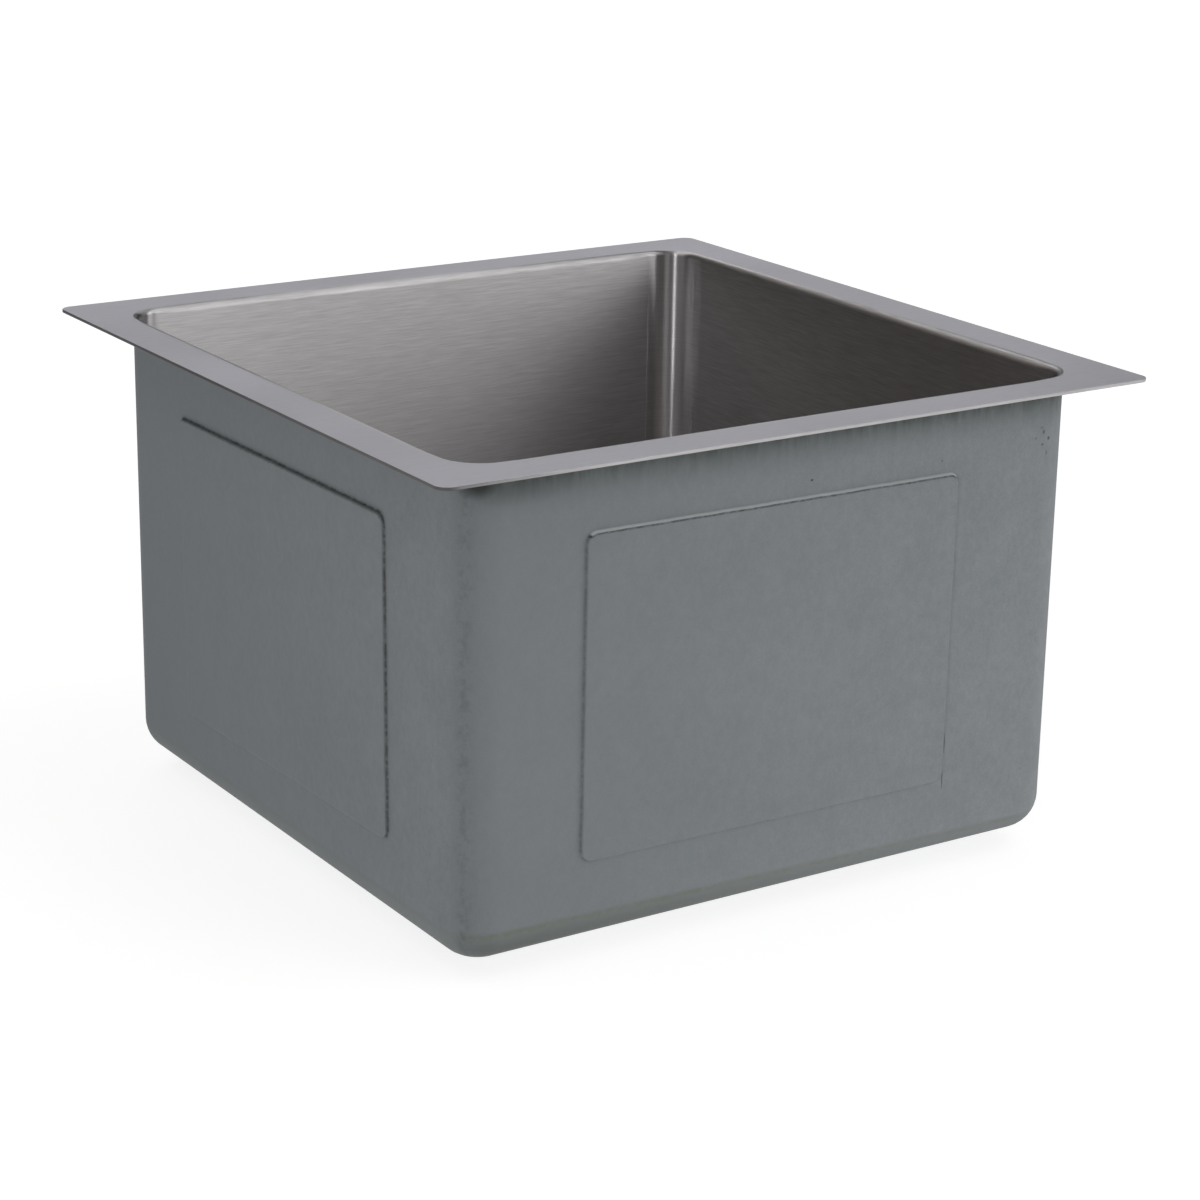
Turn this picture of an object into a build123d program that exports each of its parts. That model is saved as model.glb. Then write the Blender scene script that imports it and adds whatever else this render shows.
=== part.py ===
"""Undermount bar sink in stainless steel.

A square rim flange, four wall panels, four upright corner strips and a pressed
bottom pan are butt-welded into one bowl. Damping pads are stuck on the outside,
and a sprayed undercoat covers the walls, the bottom and the pads.

Millimetres. +Z is up, +X is to the right and -Y is the front. The origin is the
centre of the underside of the drain recess, which is the lowest face.
"""

import os
from math import radians, tan

from build123d import *

# Sheet and coat
steel = 1.5
coat = 1.1

# Rim flange, with its opening's edge pressed down into a short lip
rim_width = 25.4
rim_corner_radius = 6.35
rim_bend_radius = 3.5
lip_drop = 10.0

# Bowl, measured on its inner faces
bowl_side = 330.2
bowl_depth = 226.0
corner_radius = 18.0
bottom_radius = 15.0
pan_rise = 27.0

# Floor, which falls to the drain on four flats that meet in creases
fall_inset = 19.0
floor_fall = 3.0
fall_end_side = 78.0

# Drain recess and the hole for a 3 1/2 in basket strainer
recess_floor_radius = 55.0
recess_depth = 6.0
recess_slope = 45.0
drain_radius = 44.45

# Damping pads on the walls
pad_thickness = 1.5
pad_width = 199.6
pad_height = 148.5
pad_corner_radius = 4.0
pad_centre_drop = 112.8

# Damping pads under the floor
under_pad_width = 130.0
under_pad_depth = 56.0
under_pad_corner_radius = 4.0
under_pad_margin = 8.1

# Undercoat: bevel where it runs over a pad's edge, and the bare ring round the recess
coat_edge_bevel = 0.8
bare_ring = 10.0

# Heights that follow from the sizes above
rim_top = steel + recess_depth + floor_fall + bowl_depth
floor_top = rim_top - bowl_depth
lip_bottom = rim_top - lip_drop
pan_top = floor_top + pan_rise
panel_height = lip_bottom - pan_top
coat_top = rim_top - rim_bend_radius

# Plan positions that follow
rim_side = bowl_side + 2 * rim_width
wall_face = bowl_side / 2
corner_centre = wall_face - corner_radius
fall_side = bowl_side - 2 * fall_inset
fall_run = (fall_side - fall_end_side) / 2
under_pad_reach = fall_side / 2 - under_pad_margin - under_pad_depth / 2
recess_mouth_radius = recess_floor_radius + recess_depth / tan(radians(recess_slope))

# Each side of the bowl, as a turn about Z from the front
sides = {"front": 0, "right": 90, "rear": 180, "left": 270}

# How far each hand-laid wall pad lies to the right and is turned, seen from outside
pad_shift = {"front": -5.5, "right": 0.0, "rear": 0.0, "left": 2.2}
pad_turn = {"front": -0.3, "right": 0.0, "rear": 0.0, "left": 0.7}

os.makedirs("parts", exist_ok=True)


def finish_piece(part, name):
    """Label a finished piece and write its STEP file."""
    part.label = name
    export_step(part, f"parts/{name}.step")


def bowl_form(skin, top):
    """Solid with the bowl's shape, whose surface lies skin outside the bowl's inner faces."""
    side = bowl_side + 2 * skin
    with BuildPart() as form:
        with BuildSketch(Plane.XY.offset(floor_top - skin)):
            RectangleRounded(side, side, corner_radius + skin)
        extrude(amount=top - floor_top + skin)
        fillet(form.faces().sort_by(Axis.Z)[0].edges(), bottom_radius + skin)
        with Locations((0, 0, floor_top - skin - floor_fall / 2)):
            near = fall_run
            far = fall_side - fall_run
            Wedge(fall_side, floor_fall, fall_side, near, near, far, far, rotation=(-90, 0, 0))
        recess_height = floor_top - steel
        floor_radius = recess_floor_radius + skin * tan(radians(recess_slope / 2))
        mouth_radius = floor_radius + recess_height / tan(radians(recess_slope))
        with Locations((0, 0, steel - skin)):
            upright = (Align.CENTER, Align.CENTER, Align.MIN)
            Cone(floor_radius, mouth_radius, recess_height, align=upright)
    return form.part


def wall_plane(side):
    """Plane on a wall panel's outer face at pad height, facing out, with its Y axis up."""
    turn = sides[side]
    outward = Vector(0, -1, 0).rotate(Axis.Z, turn)
    rightward = Vector(1, 0, 0).rotate(Axis.Z, turn)
    centre = outward * (wall_face + steel) + rightward * pad_shift[side]
    centre = centre + Vector(0, 0, rim_top - pad_centre_drop)
    along = rightward.rotate(Axis((0, 0, 0), outward), pad_turn[side])
    return Plane(origin=centre, x_dir=along, z_dir=outward)


def floor_plane(side):
    """Plane on the underside of one falling flat of the floor, facing down."""
    turn = sides[side]
    drop = floor_fall * (fall_side / 2 - under_pad_reach) / fall_run
    centre = Vector(0, -under_pad_reach, floor_top - steel - drop)
    normal = Vector(0, -floor_fall, -fall_run)
    across = Vector(1, 0, 0)
    return Plane(
        origin=centre.rotate(Axis.Z, turn),
        x_dir=across.rotate(Axis.Z, turn),
        z_dir=normal.rotate(Axis.Z, turn),
    )


def pad_block(place, width, height, radius, thickness, edge_bevel=0.0):
    """Flat pad with rounded corners on a plane, with its outer edge bevelled where asked."""
    with BuildPart() as pad:
        with BuildSketch(place):
            RectangleRounded(width, height, radius)
        extrude(amount=thickness)
        if edge_bevel > 0:
            outer_face = pad.faces().sort_by(Axis(place.origin, place.z_dir))[-1]
            chamfer(outer_face.edges(), edge_bevel)
    return pad.part


# Rim flange: flat plate, short lip below it and a rounded edge round the opening
with BuildPart() as rim_flange:
    with BuildSketch(Plane.XY.offset(rim_top - steel)):
        RectangleRounded(rim_side, rim_side, rim_corner_radius)
    extrude(amount=steel)
    with BuildSketch(Plane.XY.offset(lip_bottom)):
        lip_side = bowl_side + 2 * steel
        RectangleRounded(lip_side, lip_side, corner_radius + steel)
    extrude(amount=lip_drop - steel)
    underside = rim_flange.faces().filter_by(Plane.XY).group_by(Axis.Z)[-2].face()
    fillet(underside.inner_wires()[0].edges(), rim_bend_radius - steel)
    with BuildSketch(Plane.XY.offset(lip_bottom)):
        RectangleRounded(bowl_side, bowl_side, corner_radius)
    extrude(amount=lip_drop, mode=Mode.SUBTRACT)
    top_face = rim_flange.faces().sort_by(Axis.Z)[-1]
    fillet(top_face.inner_wires()[0].edges(), rim_bend_radius)
finish_piece(rim_flange.part, "rim_flange")

# Wall panels: flat sheets between the corner strips, from the pan's seam to the lip
for side, turn in sides.items():
    with BuildPart() as wall:
        with BuildSketch(Plane.XY.offset(pan_top).rotated((0, 0, turn))):
            with Locations((0, -wall_face)):
                Rectangle(2 * corner_centre, steel, align=(Align.CENTER, Align.MAX))
        extrude(amount=panel_height)
    finish_piece(wall.part, f"wall_{side}")

# Corner strips: upright quarter rings, each on the right of the side that it is turned with
corners = {"front_right": 0, "rear_right": 90, "rear_left": 180, "front_left": 270}
for corner, turn in corners.items():
    with BuildPart() as strip:
        centre = Vector(corner_centre, -corner_centre, pan_top).rotate(Axis.Z, turn)
        across = Vector(1, 0, 0).rotate(Axis.Z, turn)
        with BuildSketch(Plane(origin=centre, x_dir=across, z_dir=(0, 0, 1))):
            Circle(corner_radius + steel)
            Circle(corner_radius, mode=Mode.SUBTRACT)
            quarter = corner_radius + steel
            Rectangle(quarter, quarter, align=(Align.MIN, Align.MAX), mode=Mode.INTERSECT)
        extrude(amount=panel_height)
    finish_piece(strip.part, f"corner_{corner}")

# Bottom pan: turned-up bends, falling floor, recess and drain hole
pan_outside = bowl_form(steel, pan_top)
pan_inside = bowl_form(0, pan_top)
with BuildPart() as bottom_pan:
    add(pan_outside)
    add(pan_inside, mode=Mode.SUBTRACT)
    Hole(drain_radius)
finish_piece(bottom_pan.part, "bottom_pan")

# Damping pads, and the coat that runs over each of them
pads = []
pad_covers = []
for side in sides:
    place = wall_plane(side)
    pad = pad_block(place, pad_width, pad_height, pad_corner_radius, pad_thickness)
    cover = pad_block(
        place,
        pad_width + 2 * coat,
        pad_height + 2 * coat,
        pad_corner_radius + coat,
        pad_thickness + coat,
        coat_edge_bevel,
    )
    pads.append(pad)
    pad_covers.append(cover)
    finish_piece(pad, f"pad_{side}")
for side in sides:
    place = floor_plane(side)
    pad = pad_block(place, under_pad_width, under_pad_depth, under_pad_corner_radius, pad_thickness)
    cover = pad_block(
        place,
        under_pad_width + 2 * coat,
        under_pad_depth + 2 * coat,
        under_pad_corner_radius + coat,
        pad_thickness + coat,
        coat_edge_bevel,
    )
    pads.append(pad)
    pad_covers.append(cover)
    finish_piece(pad, f"pad_under_{side}")

# Undercoat: one sprayed skin over walls, bottom and pads, masked off round the recess
coat_outside = bowl_form(steel + coat, coat_top)
coat_inside = bowl_form(steel, coat_top)
with BuildPart() as undercoat:
    add(coat_outside)
    add(pad_covers)
    add(coat_inside, mode=Mode.SUBTRACT)
    add(pads, mode=Mode.SUBTRACT)
    with BuildSketch(Plane.XY.offset(-coat)):
        Circle(recess_mouth_radius + bare_ring)
    extrude(amount=floor_top, mode=Mode.SUBTRACT)
finish_piece(undercoat.part, "undercoat")
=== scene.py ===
"""Looks of an undermount bar sink: brushed steel bowl, sprayed undercoat and a pale studio.

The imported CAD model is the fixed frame. Each steel sheet and the undercoat are made again
here as finer meshes in the same places, so that bends and brushed faces reflect smoothly.
Everything is in metres, with the origin under the middle of the drain recess.
"""

import logging
import math
from collections.abc import Callable, Sequence
from dataclasses import dataclass, field
from enum import Enum
from functools import partial
from typing import Any

import bmesh
import bpy
from mathutils import Matrix, Vector, noise

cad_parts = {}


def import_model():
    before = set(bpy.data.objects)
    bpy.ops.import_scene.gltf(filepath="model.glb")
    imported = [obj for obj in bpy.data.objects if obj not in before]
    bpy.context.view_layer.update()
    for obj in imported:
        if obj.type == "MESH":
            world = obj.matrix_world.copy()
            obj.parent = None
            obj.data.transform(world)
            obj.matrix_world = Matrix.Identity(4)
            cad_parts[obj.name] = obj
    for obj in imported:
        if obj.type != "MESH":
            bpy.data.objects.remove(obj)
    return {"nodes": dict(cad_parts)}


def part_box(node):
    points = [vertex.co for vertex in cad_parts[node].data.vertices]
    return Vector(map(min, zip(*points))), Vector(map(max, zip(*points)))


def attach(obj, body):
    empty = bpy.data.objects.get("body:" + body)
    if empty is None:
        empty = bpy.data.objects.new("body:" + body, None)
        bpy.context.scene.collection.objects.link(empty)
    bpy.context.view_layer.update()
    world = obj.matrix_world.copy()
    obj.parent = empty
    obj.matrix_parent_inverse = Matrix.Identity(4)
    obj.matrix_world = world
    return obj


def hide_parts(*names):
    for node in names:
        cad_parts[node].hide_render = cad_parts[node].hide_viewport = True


frame: dict[str, Any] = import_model()
log = logging.getLogger("bar_sink")

MM = 0.001

# Nodes are fed by number: a Map Range node reads its value at 0, from 1 to 2, and gives it from
# 3 to 4, a Mix node takes the share at 0 and its colours at 6 and 7, and a Math node its two
# numbers at 0 and 1.

# Values between which nearly all of a noise pattern lies
LOW, HIGH = 0.3, 0.7

# Options of a Math node that adds or multiplies and holds the answer from 0 to 1
SUM = {"operation": "ADD", "use_clamp": True}
PRODUCT = {"operation": "MULTIPLY", "use_clamp": True}


class Side(Enum):
    """The four sides of the bowl, each as its turn about Z from the front, in degrees."""

    FRONT = 0
    RIGHT = 90
    REAR = 180
    LEFT = 270

    @property
    def label(self) -> str:
        """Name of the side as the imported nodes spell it."""
        return self.name.lower()

    def turned(self, point: Vector) -> Vector:
        """Turn a point or direction given for the front round to this side."""
        return Matrix.Rotation(math.radians(self.value), 3, "Z") @ point


class Grain(Enum):
    """Which way the brushing lines run on a steel face."""

    ALONG_X = "along the sheet, from left to right"
    ROUND_BOWL = "level, round the inside of the bowl"


def linear(hex_colour: str) -> tuple[float, float, float, float]:
    """Turn an sRGB hex colour into linear red, green, blue and alpha.

    Args:
        hex_colour: Colour such as "#98979C".

    Returns:
        The linear colour, with alpha 1.
    """
    parts = [int(hex_colour[i : i + 2], 16) / 255 for i in (1, 3, 5)]
    red, green, blue = (p / 12.92 if p <= 0.04045 else ((p + 0.055) / 1.055) ** 2.4 for p in parts)
    return red, green, blue, 1.0


def held(value: float) -> float:
    """Hold a value from 0 to 1."""
    return max(0.0, min(1.0, value))


def add_node(
    tree: bpy.types.NodeTree,
    kind: str,
    inputs: dict[str | int, Any] | None = None,
    output: str | int = 0,
    **settings: Any,
) -> bpy.types.NodeSocket | None:
    """Add a shader node, set its options and feed its inputs.

    Args:
        tree: Node tree that gets the node.
        kind: Blender's type name of the node, after the word ShaderNode.
        inputs: Socket name or number, with the socket or the value that feeds it.
        output: Name or number of the socket that is read.
        **settings: Options of the node itself.

    Returns:
        The socket that is read, or nothing where the node ends the tree.
    """
    node = tree.nodes.new(f"ShaderNode{kind}")
    for option, value in settings.items():
        setattr(node, option, value)
    for key, value in (inputs or {}).items():
        if isinstance(value, bpy.types.NodeSocket):
            tree.links.new(value, node.inputs[key])
        else:
            node.inputs[key].default_value = value
    return node.outputs[output] if len(node.outputs) else None


@dataclass(frozen=True)
class Pattern:
    """Noise whose cells have a real size.

    Attributes:
        size: Size of one cell in metres, along X, Y and Z of the row frame.
        detail: Octaves of finer noise on top.
        roughness: Share that each finer octave keeps.
        shift: Offset that gives another pattern.
    """

    size: tuple[float, float, float]
    detail: float
    roughness: float
    shift: float = 0.0

    def value(self, tree: bpy.types.NodeTree) -> bpy.types.NodeSocket:
        """Add the pattern to a tree.

        Args:
            tree: Node tree that gets the nodes.

        Returns:
            The socket with the noise value, from 0 to 1 and about 0.5.
        """
        inverse = tuple(1 / s for s in self.size)
        keys = {0: add_node(tree, "TexCoord", output="Object"), 1: inverse, 2: (self.shift,) * 3}
        scaled = add_node(tree, "VectorMath", keys, operation="MULTIPLY_ADD")
        keys = {"Vector": scaled, "Scale": 1.0, "Detail": self.detail, "Roughness": self.roughness}
        return add_node(tree, "TexNoise", keys, "Fac")


@dataclass(frozen=True)
class Finish:
    """Material of one kind of face.

    Attributes:
        name: Name of the material.
    """

    name: str

    def surface(self, tree: bpy.types.NodeTree) -> dict[str | int, Any]:
        """Add the finish's patterns and colours; each finish has its own.

        Args:
            tree: Node tree that gets the nodes.

        Returns:
            What feeds the surface shader, by input.
        """
        raise NotImplementedError

    def material(self) -> bpy.types.Material:
        """Build the node material.

        Returns:
            The finished material.
        """
        material = bpy.data.materials.new(self.name)
        material.use_nodes = True
        tree = material.node_tree
        tree.nodes.clear()
        shader = add_node(tree, "BsdfPrincipled", self.surface(tree))
        add_node(tree, "OutputMaterial", {"Surface": shader})
        return material


@dataclass(frozen=True)
class BrushedSteel(Finish):
    """Stainless steel sheet, belt-brushed to a satin face.

    Brushing gives the eye long hairlines, a glow that is drawn out across the lines, and
    slow clouds where the belt pressed unevenly.

    Attributes:
        name: Name of the material.
        grain: Which way the hairlines run.
        dark: Colour in the deeper lines.
        light: Colour on the raised lines.
        roughness: Middle of the roughness.
        anisotropy: How much the glow is drawn out across the lines.
        hairline: Length and width of a hairline in metres. Real ones are about 0.05 mm wide,
            so they are drawn coarser, to show at this size.
        streak: Length and width of a broader streak in metres.
        cloud: Where the belt pressed unevenly.
        uneven: How far the roughness goes up and down.
        contrast: How much of the colour range the lines use.
        relief: Depth of the lines in metres.
        edge_shade: Colour of the painted shade on it where the mesh's painted_edge_shade layer
        says so, or nothing for a face without it.
    """

    grain: Grain
    dark: str = "#ADABAB"
    light: str = "#CBC9CA"
    roughness: float = 0.42
    anisotropy: float = 0.95
    hairline: tuple[float, float] = (12 * MM, 0.35 * MM)
    streak: tuple[float, float] = (24 * MM, 0.95 * MM)
    cloud: Pattern = Pattern((90 * MM, 90 * MM, 70 * MM), 1.0, 0.5, 3.1)
    uneven: float = 0.05
    contrast: float = 1.0
    relief: float = 0.012 * MM
    edge_shade: str = ""

    def cell(self, size: tuple[float, float]) -> tuple[float, float, float]:
        """Size of a noise cell along X, Y and Z for lines of a length and width."""
        length, width = size
        return (length, width if self.grain is Grain.ALONG_X else length, width)

    def surface(self, tree: bpy.types.NodeTree) -> dict[str | int, Any]:
        """Add the brushing's nodes.

        Args:
            tree: Node tree that gets the nodes.

        Returns:
            What feeds the surface shader, by input.
        """
        add = partial(add_node, tree)
        hairlines = Pattern(self.cell(self.hairline), 3.0, 0.6).value(tree)
        streaks = Pattern(self.cell(self.streak), 2.0, 0.5, 7.3).value(tree)
        fine = add("MapRange", {0: hairlines, 1: LOW, 2: HIGH, 3: 0.0, 4: 0.6})
        broad = add("MapRange", {0: streaks, 1: LOW, 2: HIGH, 3: 0.0, 4: 0.4})
        lines = add("Math", {0: fine, 1: broad}, **SUM)
        half = 0.5 * self.contrast
        share = add("MapRange", {0: lines, 3: 0.5 - half, 4: 0.5 + half})
        keys = {0: share, 6: linear(self.dark), 7: linear(self.light)}
        colour = add("Mix", keys, 2, data_type="RGBA")
        # Painted shade darkens the cut edge where its layer says so.
        if self.edge_shade:
            edge_shaded = add("Attribute", output="Fac", attribute_name="painted_edge_shade")
            colour = add("Mix", {0: edge_shaded, 6: colour, 7: linear(self.edge_shade)}, 2, data_type="RGBA")
        pressed = add("MapRange", {0: self.cloud.value(tree), 1: 0.35, 2: 0.65, 3: -0.25, 4: 0.25})
        worn = add("Math", {0: lines, 1: pressed}, **SUM)
        ends = {3: self.roughness + self.uneven, 4: self.roughness - self.uneven}
        # The glow is drawn out across the hairlines: up and down on the walls, to and fro
        # on the flat faces.
        level = self.grain is Grain.ROUND_BOWL
        return {
            "Base Color": colour,
            "Metallic": 1.0,
            "Roughness": add("MapRange", {0: worn, **ends}),
            "Anisotropic": self.anisotropy,
            "Anisotropic Rotation": 0.25 if level else 0.0,
            "Tangent": add("Tangent", direction_type="RADIAL", axis="Z" if level else "X"),
            "Normal": add("Bump", {"Strength": 1.0, "Distance": self.relief, "Height": hairlines}),
        }


@dataclass(frozen=True)
class Mark:
    """Dark spot on the coat.

    Attributes:
        centre: Middle of the spot, in metres.
        size: Half of its size along X, Y and Z, in metres.
        fade: Share of it over which it fades out.
        strength: How dark its middle is, from 0 to 1.
    """

    centre: tuple[float, float, float]
    size: tuple[float, float, float]
    fade: float
    strength: float

    def share(self, tree: bpy.types.NodeTree, position: bpy.types.NodeSocket) -> bpy.types.NodeSocket:
        """How much of the spot covers each point.

        Args:
            tree: Node tree that gets the nodes.
            position: Socket with the point in the row frame.

        Returns:
            The socket with the share.
        """
        inverse = tuple(1 / size for size in self.size)
        shift = tuple(-middle / size for middle, size in zip(self.centre, self.size))
        keys = {0: position, 1: inverse, 2: shift}
        offset = add_node(tree, "VectorMath", keys, operation="MULTIPLY_ADD")
        reach = add_node(tree, "VectorMath", {0: offset}, "Value", operation="LENGTH")
        return add_node(tree, "MapRange", {0: reach, 1: 1 - self.fade, 3: self.strength, 4: 0.0})


@dataclass(frozen=True)
class SprayedUndercoat(Finish):
    """Sound-deadening undercoat, sprayed on the outside and dried matt.

    Spraying gives the eye a fine orange peel and cloudy patches where the gun passed twice.
    Over that colour lie painted shadow under the flange, dirt and painted shade in creases,
    painted shade towards the left and rear, a tide line stain with painted shade below it
    along the bottom, and painted highlights on the pads' steps.

    Attributes:
        name: Name of the material.
        coat_top: Height of the coat's upper edge.
        marks: Dark spots on it.
        pale: Colour of the thick coat.
        deep: Colour of the coat between clouds.
        lean: Colour of the painted shade that darkens the front towards the left and the
        left side towards the rear.
        painted_highlight: Colour of the painted highlight on a pad's step.
        shaded: Colour of the dirt and painted shade in creases, and of the smears and spots.
        stain: Colour of the old tide line along the bottom bend.
        bend_shade: Colour of the painted shade on the bend below the tide line.
        flange_shadow: Colour of the painted shadow under the flange.
        flange_shadow_from: How far below the coat's upper edge the painted shadow starts.
        flange_shadow_full: How far below it the painted shadow is darkest.
        tide_height: Height of the tide line in the middle of the front.
        tide_slope: How much the tide line falls for each metre to the right.
        tide_below: How far below itself the tide line fades out.
        tide_above: How far above itself it fades out.
        bend_shade_depth: How far below the tide line the painted shade is full.
        cloud: Broad clouds.
        gun_pass: Where the gun passed twice.
        blotch: Small blotches.
        run: Streaks under the flange.
        fleck: Breaks in the dirt.
        peel: Orange peel.
        grit: Grains of dried overspray, drawn coarser than the real 0.2 mm, to show at
            this size.
    """

    coat_top: float
    marks: tuple[Mark, ...] = ()
    pale: str = "#808487"
    deep: str = "#717679"
    lean: str = "#676C6F"
    painted_highlight: str = "#C4C8CA"
    shaded: str = "#2A2E2C"
    stain: str = "#5D6150"
    bend_shade: str = "#3A3F3C"
    flange_shadow: str = "#474E4C"
    flange_shadow_from: float = 24 * MM
    flange_shadow_full: float = 6 * MM
    tide_height: float = 20.9 * MM
    tide_slope: float = 0.0167
    tide_below: float = 3.0 * MM
    tide_above: float = 2.2 * MM
    bend_shade_depth: float = 10 * MM
    cloud: Pattern = Pattern((17 * MM, 17 * MM, 21 * MM), 3.0, 0.6)
    gun_pass: Pattern = Pattern((140 * MM, 140 * MM, 70 * MM), 1.0, 0.5, 2.0)
    blotch: Pattern = Pattern((4.2 * MM, 4.2 * MM, 5.0 * MM), 2.0, 0.7, 6.0)
    run: Pattern = Pattern((3.2 * MM, 3.2 * MM, 14 * MM), 3.0, 0.65, 4.0)
    fleck: Pattern = Pattern((2.6 * MM,) * 3, 3.0, 0.7, 1.0)
    peel: Pattern = Pattern((2.4 * MM,) * 3, 1.0, 0.5, 9.0)
    grit: Pattern = Pattern((0.8 * MM,) * 3, 2.0, 0.6, 5.0)

    def surface(self, tree: bpy.types.NodeTree) -> dict[str | int, Any]:
        """Add the nodes of the spray, the dirt and the wear.

        Args:
            tree: Node tree that gets the nodes.

        Returns:
            What feeds the surface shader, by input.
        """
        add = partial(add_node, tree)
        blotches, grains = self.blotch.value(tree), self.grit.value(tree)
        place = add("TexCoord", output="Object")
        lean, missed, grime, smear, painted_highlight, crease = (
            add("Attribute", output="Fac", attribute_name=layer)
            for layer in ("lean", "missed", "grime", "smear", "painted_highlight", "crease")
        )

        # Broad clouds, small blotches and single grains of dried spray.
        cover = add("MapRange", {0: self.cloud.value(tree), 1: LOW, 2: HIGH, 3: 0.1, 4: 0.42})
        doubled = self.gun_pass.value(tree)
        for value, least, most in ((doubled, 0.0, 0.25), (blotches, -0.1, 0.36), (grains, -0.28, 0.28)):
            more = add("MapRange", {0: value, 1: LOW, 2: HIGH, 3: least, 4: most})
            cover = add("Math", {0: cover, 1: more}, **SUM)

        # Painted shadow under the flange, greenish and streaky.
        height = add("SeparateXYZ", {0: place}, "Z")
        near_rim = {1: self.coat_top - self.flange_shadow_from, 2: self.coat_top - self.flange_shadow_full}
        under_rim = add("MapRange", {0: height, **near_rim})
        under_rim = add("Math", {0: under_rim, 1: under_rim}, **PRODUCT)
        runs = add("MapRange", {0: self.run.value(tree), 1: LOW, 2: 0.65, 3: 0.62, 4: 1.0})
        streaky = add("Math", {0: under_rim, 1: runs}, **PRODUCT)
        flange_shadow = add("Math", {0: streaky, 1: missed}, **PRODUCT)

        # A tide line stain along the bottom bend, with painted shade on the bend below it.
        tide = self.tide_height
        slant = (self.tide_slope, 0.0, 1.0)
        level = add("VectorMath", {0: place, 1: slant}, "Value", operation="DOT_PRODUCT")
        lower = add("MapRange", {0: level, 1: tide - self.tide_below, 2: tide, 3: 0.3, 4: 0.9})
        upper = add("MapRange", {0: level, 1: tide, 2: tide + self.tide_above, 3: 0.9, 4: 0.0})
        line = add("Math", {0: lower, 1: upper}, **PRODUCT)
        patchy = add("MapRange", {0: blotches, 1: LOW, 2: 0.65, 3: 0.35, 4: 1.0})
        line = add("Math", {0: line, 1: patchy}, **PRODUCT)
        stained = add("Math", {0: line, 1: grime}, **PRODUCT)
        below = add("MapRange", {0: level, 1: tide, 2: tide - self.bend_shade_depth, 3: 0.05, 4: 1.0})
        bend_shaded = add("Math", {0: below, 1: grime}, **PRODUCT)

        # Mottled smears on the front left edge, dirt and painted shade in the creases, and spots.
        mottle = add("MapRange", {0: blotches, 1: 0.42, 2: 0.66, 3: 0.15, 4: 1.0})
        smeared = add("Math", {0: smear, 1: mottle}, **PRODUCT)
        flecks = add("MapRange", {0: self.fleck.value(tree), 1: 0.36, 2: 0.58, 3: 0.35, 4: 1.0})
        dirt_shade_and_spots = add("Math", {0: crease, 1: flecks}, **PRODUCT)
        for mark in self.marks:
            spot = mark.share(tree, place)
            dirt_shade_and_spots = add("Math", {0: dirt_shade_and_spots, 1: spot}, operation="MAXIMUM", use_clamp=True)

        # Painted shade, painted shadow and a painted highlight are mixed into the coat's colour here
        # along with its clouds, stain, smears and dirt.
        colour: Any = linear(self.deep)
        for share, tone in (
            (cover, self.pale),
            (lean, self.lean),
            (flange_shadow, self.flange_shadow),
            (bend_shaded, self.bend_shade),
            (stained, self.stain),
            (painted_highlight, self.painted_highlight),
            (smeared, self.shaded),
            (dirt_shade_and_spots, self.shaded),
        ):
            colour = add("Mix", {0: share, 6: colour, 7: linear(tone)}, 2, data_type="RGBA")

        grit_bump = add("Bump", {"Strength": 0.6, "Distance": 0.05 * MM, "Height": grains})
        peeled = {"Strength": 0.7, "Distance": 0.12 * MM, "Height": self.peel.value(tree)}
        return {
            "Base Color": colour,
            "Metallic": 0.0,
            "Roughness": add("MapRange", {0: grains, 1: LOW, 2: HIGH, 3: 0.62, 4: 0.78}),
            "IOR": 1.45,
            "Specular IOR Level": 0.35,
            "Normal": add("Bump", {**peeled, "Normal": grit_bump}),
        }


@dataclass(frozen=True)
class ButylRubber(Finish):
    """Butyl rubber damping sheet, calendered flat and die-cut.

    Calendering gives the eye a dull black face with a faint even grain.

    Attributes:
        name: Name of the material.
        dark: Colour between the grains.
        light: Colour on the grains.
        grain: The grain.
    """

    dark: str = "#1B1B1C"
    light: str = "#2A2A2B"
    grain: Pattern = Pattern((0.9 * MM,) * 3, 2.0, 0.6)

    def surface(self, tree: bpy.types.NodeTree) -> dict[str | int, Any]:
        """Add the grain's nodes.

        Args:
            tree: Node tree that gets the nodes.

        Returns:
            What feeds the surface shader, by input.
        """
        add = partial(add_node, tree)
        grains = self.grain.value(tree)
        share = add("MapRange", {0: grains, 1: LOW, 2: HIGH})
        keys = {0: share, 6: linear(self.dark), 7: linear(self.light)}
        return {
            "Base Color": add("Mix", keys, 2, data_type="RGBA"),
            "Roughness": add("MapRange", {0: grains, 1: LOW, 2: HIGH, 3: 0.7, 4: 0.85}),
            "IOR": 1.52,
            "Normal": add("Bump", {"Strength": 0.5, "Distance": 0.05 * MM, "Height": grains}),
        }


@dataclass(frozen=True)
class StudioPaper(Finish):
    """Matt paper sweep that the sink stands on.

    Attributes:
        name: Name of the material.
        colour: Colour of the paper.
        glow: Light that comes through the paper from below.
        fibre: Its fibres.
    """

    colour: str = "#A0A0A0"
    glow: float = 0.81
    fibre: Pattern = Pattern((1.5 * MM,) * 3, 2.0, 0.6)

    def surface(self, tree: bpy.types.NodeTree) -> dict[str | int, Any]:
        """Add the paper's nodes.

        Args:
            tree: Node tree that gets the nodes.

        Returns:
            What feeds the surface shader, by input.
        """
        span = {0: self.fibre.value(tree), 1: LOW, 2: HIGH}
        return {
            "Base Color": linear(self.colour),
            "Roughness": add_node(tree, "MapRange", {**span, 3: 0.9, 4: 1.0}),
            "Specular IOR Level": 0.1,
            "Emission Color": linear("#FFFFFF"),
            "Emission Strength": self.glow,
        }


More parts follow.
